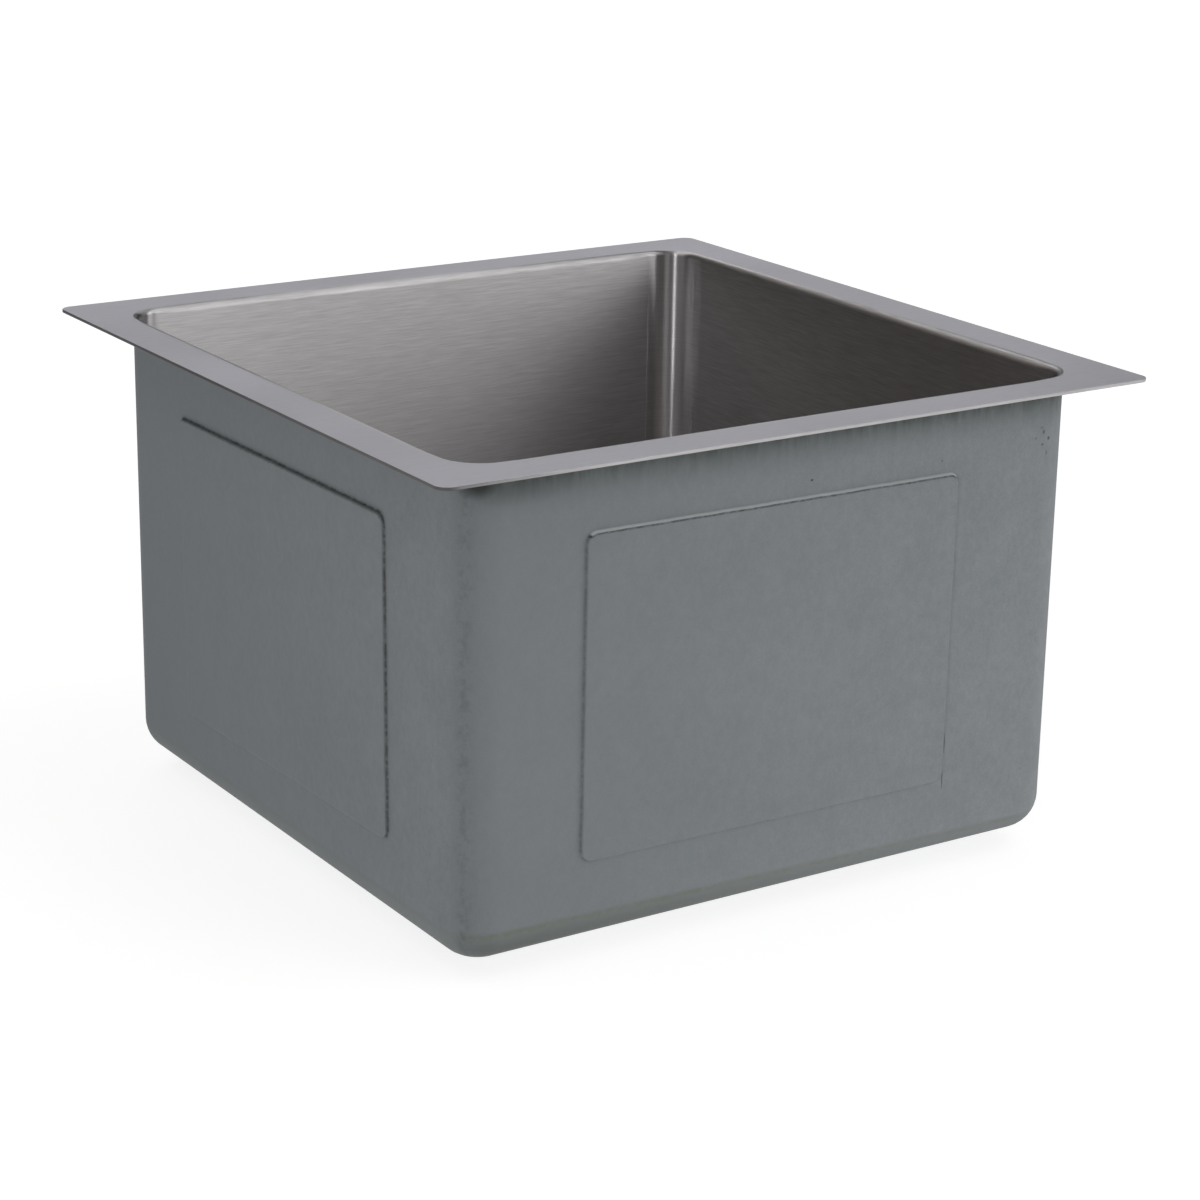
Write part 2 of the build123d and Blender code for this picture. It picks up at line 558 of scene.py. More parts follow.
def rounded_outline(
    width: float,
    depth: float,
    radius: float,
    width_steps: int,
    depth_steps: int,
    arc_steps: int,
) -> list[tuple[float, float]]:
    """Points round a rectangle with rounded corners, anticlockwise.

    The first point is in the middle of the lower left corner. Each side has the same
    number of steps whatever its size, with half a corner at either end.

    Args:
        width: Size along the first axis.
        depth: Size along the second axis.
        radius: Corner radius.
        width_steps: Steps along each side that runs along the first axis.
        depth_steps: Steps along each side that runs along the second axis.
        arc_steps: Steps round each corner, an even number.

    Returns:
        The points as pairs.
    """

    def around(centre: float, drop: float, turn: float) -> tuple[float, float]:
        """Point of a corner's arc, at a turn in degrees from straight down."""
        angle = math.radians(turn)
        return centre + radius * math.sin(angle), -drop - radius * math.cos(angle)

    points: list[tuple[float, float]] = []
    half_arc = arc_steps // 2
    sides = ((width, depth, width_steps), (depth, width, depth_steps))
    for number, (cosine, sine) in enumerate(((1, 0), (0, 1), (-1, 0), (0, -1))):
        run, out, steps = sides[number % 2]
        straight, reach, drop = steps - arc_steps, run / 2 - radius, out / 2 - radius
        local = [around(-reach, drop, 45 * i / half_arc - 45) for i in range(half_arc)]
        local += [(-reach + 2 * reach * i / straight, -out / 2) for i in range(straight + 1)]
        local += [around(reach, drop, 45 * i / half_arc) for i in range(1, half_arc)]
        points += [(x * cosine - y * sine, x * sine + y * cosine) for x, y in local]
    return points


def square_ring(
    half: float, radius: float, height: float, side_steps: int, arc_steps: int
) -> list[Vector]:
    """Level ring with the plan of the bowl: a square with rounded corners.

    Args:
        half: Half of the square's side.
        radius: Corner radius.
        height: Height of the ring.
        side_steps: Steps along each side, with half a corner at either end.
        arc_steps: Steps round each corner.

    Returns:
        The points, from the front left corner on.
    """
    outline = rounded_outline(2 * half, 2 * half, radius, side_steps, side_steps, arc_steps)
    return [Vector((x, y, height)) for x, y in outline]


def on_corner(step: int, side_steps: int, arc_steps: int) -> bool:
    """Whether a step along a square ring runs round one of its corners.

    Args:
        step: Number of the step.
        side_steps: Steps along each side.
        arc_steps: Steps round each corner.

    Returns:
        True on a corner and False on a side.
    """
    return not arc_steps // 2 <= step % side_steps < side_steps - arc_steps // 2


def round_ring(radius: float, height: float, side_steps: int) -> list[Vector]:
    """Level circle with as many points as a square ring, also from the front left on.

    Args:
        radius: Radius of the circle.
        height: Height of the circle.
        side_steps: Steps in each quarter.

    Returns:
        The points.
    """
    turns = [math.radians(-135 + 90 * i / side_steps) for i in range(4 * side_steps)]
    return [Vector((radius * math.cos(t), radius * math.sin(t), height)) for t in turns]


@dataclass
class SheetMesh:
    """Points and faces of one piece while it is being built.

    Attributes:
        points: All points.
        faces: Faces as numbers of points.
        finish_numbers: For each face, which of the finishes it has.
        paint: Named values for points, such as dirt held in a crease.
    """

    points: list[Vector] = field(default_factory=list)
    faces: list[tuple[int, ...]] = field(default_factory=list)
    finish_numbers: list[int] = field(default_factory=list)
    paint: dict[str, dict[int, float]] = field(default_factory=dict)

    def add(self, points: Sequence[Vector]) -> list[int]:
        """Add points and give their numbers.

        Args:
            points: Points to add.

        Returns:
            The numbers of the points.
        """
        numbers = list(range(len(self.points), len(self.points) + len(points)))
        self.points += points
        return numbers

    def face(self, corners: Sequence[int], finish: int = 0) -> None:
        """Add one face through these points."""
        self.faces.append(tuple(corners))
        self.finish_numbers.append(finish)

    def bridge(
        self,
        first: Sequence[int],
        second: Sequence[int],
        closed: bool = True,
        finish: int | Callable[[int], int] = 0,
    ) -> None:
        """Join two rows of the same length with quads.

        Args:
            first: Numbers of the first row's points.
            second: Numbers of the second row's points.
            closed: Whether the rows are rings.
            finish: Finish number of the faces, or a function of the step that gives it.
        """
        count = len(first)
        for i in range(count if closed else count - 1):
            j = (i + 1) % count
            number = finish(i) if callable(finish) else finish
            self.face((first[i], first[j], second[j], second[i]), number)

    def build(
        self,
        name: str,
        finishes: Sequence[bpy.types.Material],
        soft_angle: float = 42.0,
        thickness: float = 0.0,
    ) -> bpy.types.Object:
        """Make the Blender object.

        Args:
            name: Name of the piece.
            finishes: Materials that the finish numbers stand for.
            soft_angle: Edges that turn by less than this, in degrees, are shaded smooth.
            thickness: Thickness that an open skin gets on its inner side, in metres.

        Returns:
            The object, linked to the scene.
        """
        mesh = bpy.data.meshes.new(name)
        mesh.from_pydata([tuple(p) for p in self.points], [], self.faces)
        for material in finishes:
            mesh.materials.append(material)
        mesh.polygons.foreach_set("material_index", self.finish_numbers)
        for layer, values in self.paint.items():
            amounts = [values.get(i, 0.0) for i in range(len(self.points))]
            mesh.attributes.new(layer, "FLOAT", "POINT").data.foreach_set("value", amounts)
        shape = bmesh.new()
        shape.from_mesh(mesh)
        bmesh.ops.recalc_face_normals(shape, faces=shape.faces)
        shape.to_mesh(mesh)
        shape.free()
        mesh.shade_smooth()
        mesh.set_sharp_from_angle(angle=math.radians(soft_angle))
        piece = bpy.data.objects.new(name, mesh)
        bpy.context.scene.collection.objects.link(piece)
        if thickness > 0:
            skin = piece.modifiers.new("coat thickness", "SOLIDIFY")
            skin.thickness = thickness
            skin.offset = -1.0
            skin.use_even_offset = True
        shading = piece.modifiers.new("flat faces stay flat", "WEIGHTED_NORMAL")
        shading.keep_sharp = True
        return piece


@dataclass(frozen=True)
class BowlSizes:
    """Sizes that the pieces share, in metres.

    Attributes:
        rim_half: Half of the flange's side.
        rim_top: Height of the flange's top.
        rim_corner: Radius of the flange's outer corners.
        rim_bend: Radius of the bend at the opening, on the seen side.
        lip_bottom: Height where the flange's lip meets the walls.
        steel: Thickness of the sheet.
        wall_face: From the middle to a wall's inner face.
        seam: From the middle to a wall's upright edge, also the corners' centre.
        pan_top: Height where the pan meets the walls.
        bottom_bend: Radius of the pan's bend, on the seen side.
        floor_top: Height of the floor's flat edge.
        fall: How far the floor falls to the drain.
        fall_start: From the middle to where the fall starts.
        fall_end: From the middle to where it would end, inside the recess.
        recess_radius: Radius of the recess's floor.
        drain_radius: Radius of the drain hole.
        coat: Thickness of the undercoat.
        coat_top: Height of the coat's upper edge.
        bare_radius: Radius that is masked off round the drain.
        pad: Thickness of a damping pad.
        weld_bevel: Half of the fine groove that is left along each upright weld.
    """

    rim_half: float
    rim_top: float
    lip_bottom: float
    steel: float
    wall_face: float
    seam: float
    pan_top: float
    coat: float
    coat_top: float
    pad: float
    rim_corner: float = 6.35 * MM
    rim_bend: float = 3.5 * MM
    bottom_bend: float = 15 * MM
    floor_top: float = 10.5 * MM
    fall: float = 3 * MM
    fall_start: float = 146.1 * MM
    fall_end: float = 39 * MM
    recess_radius: float = 55 * MM
    drain_radius: float = 44.45 * MM
    bare_radius: float = 71 * MM
    weld_bevel: float = 0.08 * MM

    @classmethod
    def from_frame(cls) -> "BowlSizes":
        """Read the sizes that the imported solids' boxes give."""
        rim_low, rim_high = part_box("rim_flange")
        wall_low, wall_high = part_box("wall_front")
        pad_low, pad_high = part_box("pad_right")
        coat_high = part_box("undercoat")[1]
        return cls(
            rim_half=rim_high.x,
            rim_top=rim_high.z,
            lip_bottom=rim_low.z,
            steel=wall_high.y - wall_low.y,
            wall_face=-wall_high.y,
            seam=wall_high.x,
            pan_top=wall_low.z,
            coat=coat_high.x - pad_high.x,
            coat_top=coat_high.z,
            pad=pad_high.x - pad_low.x,
        )

    @property
    def corner(self) -> float:
        """Radius of the bowl's upright corners, on the seen side."""
        return self.wall_face - self.seam

    @property
    def slope(self) -> float:
        """How much the floor falls for each metre towards the drain."""
        return self.fall / (self.fall_start - self.fall_end)

    def floor_height(self, point: Vector, skin: float) -> float:
        """Height of the falling floor under a point, or of a surface skin below it."""
        reach = max(abs(point.x), abs(point.y))
        return self.floor_top - skin - self.slope * max(self.fall_start - reach, 0.0)

    def draped(self, ring: list[Vector], skin: float) -> list[Vector]:
        """Put a ring's points on the falling floor, or on a surface skin below it."""
        return [Vector((p.x, p.y, self.floor_height(p, skin))) for p in ring]


@dataclass
class RimFlange:
    """Flat flange with a short lip bent down into the bowl.

    The lip is folded along each side and welded and ground round the corners, so its bend
    is wide along the walls and tight round the corners.

    Attributes:
        sizes: Sizes shared by the pieces.
        flat: Finish of the flat top.
        bent: Finish of the bend and the lip.
        corner: Finish of the bend and the lip round the corners.
        under: Finish of the underside.
        cut: Finish of the sheared outer edge.
        edge_bevel: Worn edge of the sheared steel, in metres.
        corner_bend: Radius of the ground edge round the corners.
        run_out: Length of wall in which the folded bend grows from that to its full radius.
        left_edge_shade: Painted shade on the left cut edge, at its front end and over its
            rear part.
        rear_part: Where that is reached, as a share of half of the flange's side.
        front_edge_shade: Painted shade at the left end of the front cut edge.
        edge_shade_end: Where it ends, from the left corner.
        side_steps: Steps along each side, with half a corner at either end.
        arc_steps: Steps round each corner.
        bend_steps: Steps round the bend.
    """

    sizes: BowlSizes
    flat: bpy.types.Material
    bent: bpy.types.Material
    corner: bpy.types.Material
    under: bpy.types.Material
    cut: bpy.types.Material
    edge_bevel: float = 0.15 * MM
    corner_bend: float = 2.6 * MM
    run_out: float = 10 * MM
    left_edge_shade: tuple[float, float] = (0.8, 1.0)
    rear_part: float = 1.1
    front_edge_shade: float = 0.7
    edge_shade_end: float = 75 * MM
    side_steps: int = 152
    arc_steps: int = 32
    bend_steps: int = 10

    def bend_radius(self, point: Vector) -> float:
        """Radius of the bend beside a point of the bowl's inner faces.

        Args:
            point: Point of the plan.

        Returns:
            The radius in metres.
        """
        s = self.sizes
        before_seam = s.seam - min(abs(point.x), abs(point.y))
        share = held(before_seam / self.run_out)
        share = share * share * (3 - 2 * share)
        return self.corner_bend + (s.rim_bend - self.corner_bend) * share

    def bend_ring(self, turn: float) -> list[Vector]:
        """Ring round the bend's seen face.

        Args:
            turn: How far round the bend, in radians, from the lip up to the flat top.

        Returns:
            The points.
        """
        s = self.sizes
        steps, arcs = self.side_steps, self.arc_steps
        near = square_ring(s.wall_face, s.corner, 0.0, steps, arcs)
        far = square_ring(s.wall_face + MM, s.corner + MM, 0.0, steps, arcs)
        points = []
        for start, beyond in zip(near, far):
            radius = self.bend_radius(start)
            place = start + (beyond - start) / MM * radius * (1 - math.cos(turn))
            place.z = s.rim_top - radius * (1 - math.sin(turn))
            points.append(place)
        return points

    def painted_edge_shade(self, point: Vector) -> float:
        """How much painted shade darkens the cut edge at a point.

        The left side is shaded most; the shade thins out towards the front left corner and
        ends a little way along the front.

        Args:
            point: Point of the cut edge.

        Returns:
            The amount, from 0 to 1.
        """
        half = self.sizes.rim_half
        if point.x < -half + self.sizes.rim_corner:
            first, last = self.left_edge_shade
            return first + (last - first) * held((point.y + half) / (self.rear_part * half))
        if point.y < 0:
            return max(0.0, self.front_edge_shade * (1.0 - (point.x + half) / self.edge_shade_end))
        return 0.0

    def build(self) -> bpy.types.Object:
        """Build the flange as one closed sheet.

        Returns:
            The piece.
        """
        s, sheet = self.sizes, SheetMesh()

        def ring(half: float, radius: float, height: float) -> list[int]:
            return sheet.add(square_ring(half, radius, height, self.side_steps, self.arc_steps))

        def by_corner(step: int) -> int:
            return 2 if on_corner(step, self.side_steps, self.arc_steps) else 1

        inner: list[list[int]] = [ring(s.wall_face, s.corner, s.lip_bottom)]
        for i in range(self.bend_steps + 1):
            inner.append(sheet.add(self.bend_ring(math.radians(90 * i / self.bend_steps))))
        for first, second in zip(inner, inner[1:]):
            sheet.bridge(first, second, finish=by_corner)

        bevel = self.edge_bevel
        top_edge = ring(s.rim_half - bevel, s.rim_corner - bevel, s.rim_top)
        sheet.bridge(inner[-1], top_edge, finish=0)
        upper = ring(s.rim_half, s.rim_corner, s.rim_top - bevel)
        lower = ring(s.rim_half, s.rim_corner, s.rim_top - s.steel + bevel)
        under_edge = ring(s.rim_half - bevel, s.rim_corner - bevel, s.rim_top - s.steel)
        for first, second in ((top_edge, upper), (upper, lower), (lower, under_edge)):
            sheet.bridge(first, second, finish=4)
        # Painted shade on the cut edge, strongest along its left side.
        edge_shade = {i: self.painted_edge_shade(sheet.points[i]) for i in (*upper, *lower, *under_edge)}
        sheet.paint["painted_edge_shade"] = edge_shade

        outer: list[list[int]] = [under_edge]
        tight = s.rim_bend - s.steel
        for i in range(self.bend_steps + 1):
            turn = math.radians(90 * i / self.bend_steps)
            half = s.wall_face + s.rim_bend - tight * math.sin(turn)
            height = s.rim_top - s.rim_bend + tight * math.cos(turn)
            outer.append(ring(half, half - s.seam, height))
        outer.append(ring(s.wall_face + s.steel, s.corner + s.steel, s.lip_bottom))
        for first, second in zip(outer, outer[1:]):
            sheet.bridge(first, second, finish=3)
        sheet.bridge(outer[-1], inner[0], finish=3)
        finishes = [self.flat, self.bent, self.corner, self.under, self.cut]
        return sheet.build("rim_flange_sheet", finishes)


@dataclass
class WallPanel:
    """Flat wall sheet between two corner strips.

    Attributes:
        sizes: Sizes shared by the pieces.
        side: Side of the bowl.
        finish: Brushed face.
    """

    sizes: BowlSizes
    side: Side
    finish: bpy.types.Material

    def build(self) -> bpy.types.Object:
        """Build the panel as a closed sheet with fine bevels along its welds.

        Returns:
            The piece.
        """
        s, bevel, sheet = self.sizes, self.sizes.weld_bevel, SheetMesh()
        plan = [
            (-s.seam, -s.wall_face - s.steel),
            (s.seam, -s.wall_face - s.steel),
            (s.seam, -s.wall_face - bevel),
            (s.seam - bevel, -s.wall_face),
            (bevel - s.seam, -s.wall_face),
            (-s.seam, -s.wall_face - bevel),
        ]
        rows = [
            sheet.add([self.side.turned(Vector((x, y, z))) for x, y in plan])
            for z in (s.pan_top, s.lip_bottom)
        ]
        sheet.bridge(rows[0], rows[1])
        sheet.face(rows[0])
        sheet.face(rows[1])
        return sheet.build(f"wall_{self.side.label}_sheet", [self.finish])


@dataclass
class CornerStrip:
    """Upright quarter-round strip, on the right of the side that it is named with.

    Attributes:
        sizes: Sizes shared by the pieces.
        side: Side that has the strip on its right, seen from outside.
        name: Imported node's name.
        finish: Brushed face.
        arc_steps: Steps round the strip.
    """

    sizes: BowlSizes
    side: Side
    name: str
    finish: bpy.types.Material
    arc_steps: int = 28

    def build(self) -> bpy.types.Object:
        """Build the strip as a closed sheet with fine bevels along its welds.

        Returns:
            The piece.
        """
        s, sheet, steps = self.sizes, SheetMesh(), self.arc_steps
        inset = s.weld_bevel / s.corner

        def around(radius: float, turn: float) -> Vector:
            """Point of the strip's plan, by its distance and bearing from the arcs' centre."""
            x, y = s.seam + radius * math.sin(turn), -s.seam - radius * math.cos(turn)
            return Vector((x, y, 0.0))

        quarter = math.pi / 2
        seen = quarter - 2 * inset
        plan = [around(s.corner + s.weld_bevel, 0.0)]
        plan += [around(s.corner, inset + seen * i / steps) for i in range(steps + 1)]
        plan.append(around(s.corner + s.weld_bevel, quarter))
        plan += [around(s.corner + s.steel, quarter * i / steps) for i in range(steps, -1, -1)]
        rows = [
            sheet.add([self.side.turned(p + Vector((0, 0, z))) for p in plan])
            for z in (s.pan_top, s.lip_bottom)
        ]
        sheet.bridge(rows[0], rows[1])
        for row in rows:
            # Quads between the two arcs, and one face for each bevelled end.
            sheet.bridge(row[1 : steps + 2], row[: steps + 2 : -1], closed=False)
            sheet.face((row[0], row[1], row[-1]))
            sheet.face((row[steps + 2], row[steps + 1], row[steps + 3]))
        return sheet.build(f"corner_{self.name}_strip", [self.finish])


@dataclass
class BottomPan:
    """Pressed bottom: turned-up bends, four falling flats, recess and drain hole.

    Attributes:
        sizes: Sizes shared by the pieces.
        bend: Finish of the bends at the sides.
        corner: Finish of the bends round the corners.
        flat: Finish of the floor and the recess.
        under: Finish of the underside.
        cone_lean: Half of the angle between the recess's cone and its floor, in degrees.
        crease: Half of the width over which the start of the fall is rounded.
        crease_corners: Corner radii of the rings outside and inside that crease.
        mouth_rounding: Rings over the edge of the recess's mouth, each as its distance
            outside the edge and how far it is lowered.
        foot_rounding: Rings round the foot of the cone, each as its distance outside the
            foot and its height above the recess's floor.
        falling: Places of the rings on the falling flats, as shares of the way in.
        hole_bevel: Worn edge of the drain hole.
        side_steps: Steps along each side, with half a corner at either end.
        arc_steps: Steps round each corner.
        bend_steps: Steps round the bends.
    """

    sizes: BowlSizes
    bend: bpy.types.Material
    corner: bpy.types.Material
    flat: bpy.types.Material
    under: bpy.types.Material
    cone_lean: float = 22.5
    crease: float = 0.6 * MM
    crease_corners: tuple[float, float] = (0.9 * MM, 0.6 * MM)
    mouth_rounding: tuple[tuple[float, float], ...] = (
        (1.2 * MM, 0.0),
        (0.4 * MM, 0.1 * MM),
        (-0.3 * MM, 0.1 * MM),
        (-1.0 * MM, 0.0),
    )
    foot_rounding: tuple[tuple[float, float], ...] = (
        (0.8 * MM, 0.8 * MM),
        (0.2 * MM, 0.3 * MM),
        (-0.3 * MM, 0.07 * MM),
        (-1.1 * MM, 0.0),
    )
    falling: tuple[float, ...] = (0.25, 0.5, 0.75)
    hole_bevel: float = 0.2 * MM
    side_steps: int = 48
    arc_steps: int = 24
    bend_steps: int = 14

    def foot(self, skin: float) -> float:
        """Radius of the cone's foot, on a surface skin below the seen face."""
        return self.sizes.recess_radius + skin * math.tan(math.radians(self.cone_lean))

    def mouth(self, skin: float, spread: float, drop: float) -> list[Vector]:
        """Ring near the recess's mouth, where its cone meets the falling floor.

        Args:
            skin: How far the surface lies below the floor's seen face.
            spread: How far outside the mouth the ring lies, on the floor if positive and
                on the cone if negative.
            drop: How far the ring is lowered to round the edge over.

        Returns:
            The points.
        """
        s, foot, foot_height = self.sizes, self.foot(skin), self.sizes.steel - skin
        level = s.floor_top - skin - s.slope * s.fall_start
        points = []
        for point in round_ring(1.0, 0.0, self.side_steps):
            reach = max(abs(point.x), abs(point.y))
            radius = (foot - foot_height + level) / (1 - s.slope * reach)
            place = Vector((point.x * (radius + spread), point.y * (radius + spread), 0.0))
            if spread >= 0:
                place.z = s.floor_height(place, skin) - drop
            else:
                place.z = foot_height + (radius + spread) - foot - drop
            points.append(place)
        return points

    def build(self) -> bpy.types.Object:
        """Build the pan as one closed sheet with a hole.

        Returns:
            The piece.
        """
        s, sheet = self.sizes, SheetMesh()

        def by_corner(step: int) -> int:
            return int(on_corner(step, self.side_steps, self.arc_steps))

        def face_of(skin: float) -> list[list[int]]:
            """Rings of one face of the sheet, from its top edge in to the hole."""
            steps, arcs = self.side_steps, self.arc_steps
            radius = s.bottom_bend + skin
            half, corner = s.wall_face + skin, s.corner + skin
            rings = [square_ring(half, corner, s.pan_top, steps, arcs)]
            for i in range(self.bend_steps + 1):
                turn = math.radians(90 * i / self.bend_steps)
                inward = radius * (1 - math.cos(turn))
                height = s.floor_top + s.bottom_bend - radius * math.sin(turn)
                rings.append(square_ring(half - inward, corner - inward, height, steps, arcs))
            wide, narrow = self.crease_corners
            level, low = s.floor_top - skin, s.steel - skin
            rings.append(square_ring(s.fall_start + self.crease, wide, level, steps, arcs))
            start = square_ring(s.fall_start - self.crease, narrow, 0.0, steps, arcs)
            rings.append(s.draped(start, skin))
            mouths = [self.mouth(skin, spread, drop) for spread, drop in self.mouth_rounding]
            for share in self.falling:
                mixed = [a.lerp(b, share) for a, b in zip(start, mouths[0])]
                rings.append(s.draped(mixed, skin))
            rings += mouths
            for spread, rise in self.foot_rounding:
                rings.append(round_ring(self.foot(skin) + spread, low + rise, steps))
            rings.append(round_ring(s.drain_radius + self.hole_bevel, low, steps))
            return [sheet.add(r) for r in rings]

        inner, outer = face_of(0.0), face_of(s.steel)
        bends = self.bend_steps + 1
        for number, (first, second) in enumerate(zip(inner, inner[1:])):
            sheet.bridge(first, second, finish=by_corner if number < bends else 2)
        for first, second in zip(outer, outer[1:]):
            sheet.bridge(first, second, finish=3)
        sheet.bridge(inner[0], outer[0], finish=3)
        hole = [
            sheet.add(round_ring(s.drain_radius, height, self.side_steps))
            for height in (s.steel - self.hole_bevel, self.hole_bevel)
        ]
        sheet.bridge(inner[-1], hole[0], finish=2)
        sheet.bridge(hole[0], hole[1], finish=2)
        sheet.bridge(hole[1], outer[-1], finish=3)
        finishes = [self.bend, self.corner, self.flat, self.under]
        return sheet.build("bottom_pan_sheet", finishes)


@dataclass(frozen=True)
class PadRelief:
    """Where the undercoat rises over a damping pad.

    Attributes:
        centre: Middle of the pad, on the coat's plain surface.
        along: Direction of the pad's width.
        up: Direction of the pad's height.
        width: Width of the coated pad.
        height: Height of the coated pad.
        radius: Corner radius of the coated pad.
        rise: How far the coat stands out over the pad.
        seed: Number that sets how this pad's own edge wavers.
        dirt_and_shade: How much dirt and painted shade the foot of each edge holds, as lower,
            right, upper and left.
        shoulder_darkening: How dark the shoulder of each edge is made, in the same order.
        painted_highlights: How bright the painted highlight on the step of each edge is, in the
        same order.
        waver: How far the edge wavers.
        waver_length: Length of one waver.
        least_radius: Smallest corner radius of a ring inside the outline.
    """

    centre: Vector
    along: Vector
    up: Vector
    width: float
    height: float
    radius: float
    rise: float
    seed: float
    dirt_and_shade: tuple[float, float, float, float]
    shoulder_darkening: tuple[float, float, float, float] = (0.0, 0.0, 0.0, 0.0)
    painted_highlights: tuple[float, float, float, float] = (0.0, 0.0, 0.0, 0.0)
    waver: float = 0.18 * MM
    waver_length: float = 7 * MM
    least_radius: float = 0.3 * MM

    def loop(
        self, spread: float, lift: float, width_steps: int, height_steps: int, arc_steps: int
    ) -> list[Vector]:
        """Points round the pad's outline.

        Args:
            spread: How far outside the coated pad's outline the loop lies.
            lift: Height above the coat's plain surface.
            width_steps: Steps along the lower and upper edge.
            height_steps: Steps along the right and left edge.
            arc_steps: Steps round each corner.

        Returns:
            The points.
        """
        out = self.along.cross(self.up)
        outline = rounded_outline(
            self.width + 2 * spread,
            self.height + 2 * spread,
            max(self.radius + spread, self.least_radius),
            width_steps,
            height_steps,
            arc_steps,
        )
        points = []
        for x, y in outline:
            wave = noise.noise(Vector((x, y, self.seed * MM)) / self.waver_length) * self.waver
            grown = 1 + wave / math.hypot(x, y)
            flat = self.centre + self.along * (x * grown) + self.up * (y * grown)
            points.append(flat + out * lift)
        return points


@dataclass
class Undercoat:
    """Sprayed skin over the walls, the bottom and the pads.

    Attributes:
        sizes: Sizes shared by the pieces.
        finish: Sprayed finish.
        side_steps: Steps along each side of the bowl's rings.
        arc_steps: Steps round each corner.
        wall_steps: Steps up the walls.
        floor_steps: Steps from the floor's edge to the bare ring.
        bend_steps: Steps round the bottom bend.
        pad_arc_steps: Steps round each pad's corner.
        pad_width: Width of a wall pad.
        pad_height: Height of a wall pad.
        pad_radius: Corner radius of every pad.
        pad_centre_drop: From the rim's top down to a wall pad's middle.
        under_width: Width of a pad under the floor.
        under_depth: Its depth.
        under_reach: From the middle to its middle.
        top_bevel: Height over which the upper edge is feathered.
        feather: How far it is feathered in.
        crease_corner: Corner radius of the ring where the floor starts to fall.
        soft_angle: Edges that turn by less than this, in degrees, are shaded smooth.
        side_from: Share of the way out to a wall's face from where a point is on that side.
        smear_bearing: Bearing of the smears round the front left corner, in degrees from the
            left side to the front.
        smear_spread: How many degrees to either side of it they reach.
    """

    sizes: BowlSizes
    finish: bpy.types.Material
    side_steps: int = 112
    arc_steps: int = 16
    wall_steps: int = 72
    floor_steps: int = 36
    bend_steps: int = 10
    pad_arc_steps: int = 8
    pad_width: float = 199.6 * MM
    pad_height: float = 148.5 * MM
    pad_radius: float = 4 * MM
    pad_centre_drop: float = 112.8 * MM
    under_width: float = 130 * MM
    under_depth: float = 56 * MM
    under_reach: float = 110 * MM
    top_bevel: float = 0.3 * MM
    feather: float = 0.2 * MM
    crease_corner: float = 0.5 * MM
    soft_angle: float = 50.0
    side_from: float = 0.93
    smear_bearing: float = 42.0
    smear_spread: float = 20.0

    # Spots on the front: a dark spot under the flange's front left corner with a fainter dark
    # band reaching right from it under the flange, a torn pad corner, specks of overspray near
    # the right end and scratches beside the pad. Each has its middle and half of its size in
    # millimetres, its fade and its strength.
    marks = tuple(
        Mark((x * MM, y * MM, z * MM), (width * MM, depth * MM, height * MM), fade, strength)
        for (x, y, z), (width, depth, height), fade, strength in (
            ((-157, -164, 227), (11, 9, 7), 0.7, 0.95),
            ((-104.6, -168.5, 198), (1.7, 4, 0.9), 0.7, 0.8),
            ((-138, -167, 226), (34, 8, 10), 1.0, 0.4),
            ((146.4, -167, 211.2), (0.9, 5, 1.5), 0.8, 0.75),
            ((149.7, -167, 207.8), (1.0, 5, 1.2), 0.7, 0.85),
            ((146.0, -167, 205.2), (1.1, 5, 0.8), 0.8, 0.7),
            ((148.8, -167, 200.9), (0.8, 5, 1.6), 0.8, 0.5),
            ((141.8, -167, 208.6), (1.2, 5, 0.8), 0.8, 0.45),
            ((145.3, -167, 213.4), (1.6, 5, 0.9), 0.9, 0.4),
            ((86.2, -167, 205.3), (0.6, 4, 0.8), 0.6, 0.5),
            ((12.4, -167, 206.5), (0.9, 4, 0.6), 0.4, 0.9),
            ((96.4, -168, 66), (0.5, 4, 7), 0.6, 0.7),
            ((96.1, -168, 48), (0.5, 4, 6), 0.6, 0.7),
        )
    )

    # The coat over a pad's edge: a filled crease at the foot, a steep step and a rounded
    # shoulder. Each ring has its distance outside the coated pad in millimetres, its share of
    # the pad's rise, its dirt and painted shade, how dark its shoulder is made and how bright
    # its painted highlight is.
    pad_levels = (
        (3.2, 0.0, 0.0, 0.0, 0.0),
        (1.5, 0.0, 0.12, 0.0, 0.0),
        (0.8, 0.05, 0.6, 0.0, 0.0),
        (0.3, 0.16, 1.0, 0.0, 0.7),
        (0.02, 0.5, 0.6, 0.0, 1.0),
        (-0.12, 0.8, 0.15, 0.0, 1.0),
        (-0.4, 0.96, 0.0, 0.8, 0.2),
        (-0.8, 1.0, 0.0, 1.0, 0.0),
        (-1.4, 1.0, 0.0, 0.0, 0.0),
        (-3.0, 1.0, 0.0, 0.0, 0.0),
    )

    # How far a hand-laid wall pad lies to the right and is turned, seen from outside
    shifts = {Side.FRONT: -5.5 * MM, Side.LEFT: 2.2 * MM}
    turns = {Side.FRONT: -0.3, Side.LEFT: 0.7}

    # Dirt and painted shade at the foot of a wall pad's lower, right, upper and left edge, and
    # how dark the shoulder of its upper edge is made
    dirt_and_shade = {Side.FRONT: (0.22, 0.45, 0.05, 0.45), Side.LEFT: (0.3, 0.9, 0.85, 0.1)}
    plain_dirt_and_shade = (0.2, 0.4, 0.5, 0.4)
    shoulder_darkness = {Side.FRONT: 0.85, Side.LEFT: 0.5}
    plain_shoulder_darkness = 0.2

